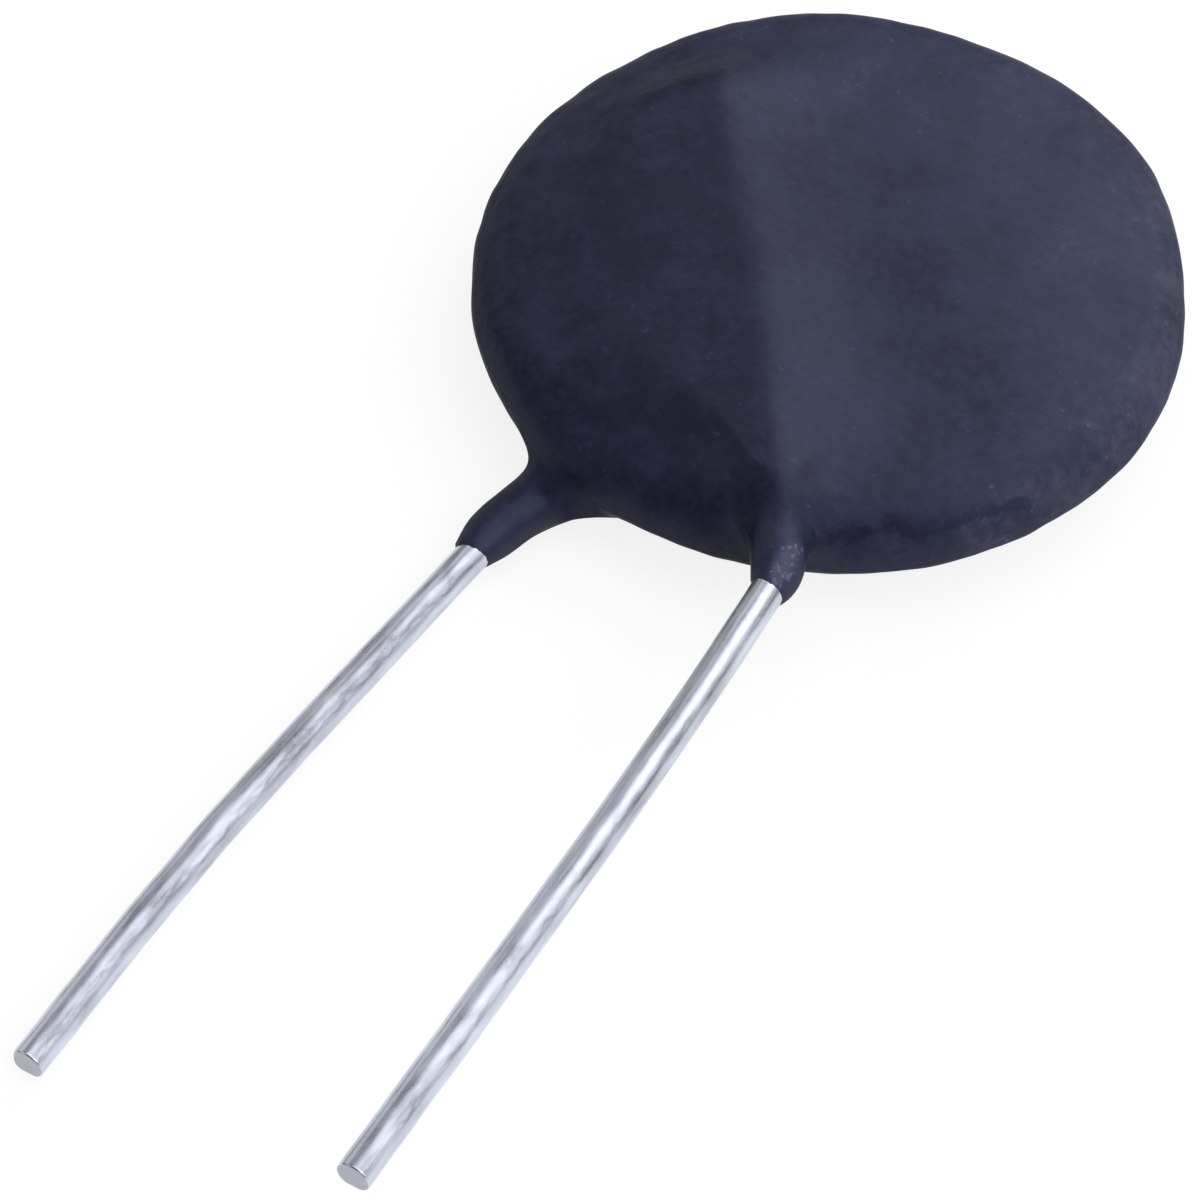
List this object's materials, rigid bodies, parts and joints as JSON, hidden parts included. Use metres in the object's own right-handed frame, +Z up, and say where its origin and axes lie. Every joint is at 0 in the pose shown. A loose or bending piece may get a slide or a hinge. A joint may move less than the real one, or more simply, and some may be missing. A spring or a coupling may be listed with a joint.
{
  "type": "ntc thermistor",
  "caption": "Disc thermistor: a ceramic resistor disc in dark dipped resin, with stiff tinned wire leads that leave its edge side by side.",
  "frame": {"origin": "centre of the underside of the bounding box, with the part lying on its rear face", "axes": "+Z up, out of the front face; the leads run along -Y from the coated disc, and the front lead is on the +X side"},
  "size_m": [0.0212, 0.0448, 0.0051],
  "materials": {
    "resin": "satin",
    "ceramic": "matte",
    "fired_silver": "satin",
    "solder": "satin",
    "tinned_wire": "satin"
  },
  "bodies": {
    "root": {"coating": "resin", "ceramic_disc": "ceramic", "front_electrode": "fired_silver", "rear_electrode": "fired_silver", "front_solder": "solder", "rear_solder": "solder", "front_lead": "tinned_wire", "rear_lead": "tinned_wire"}
  },
  "joints": []
}
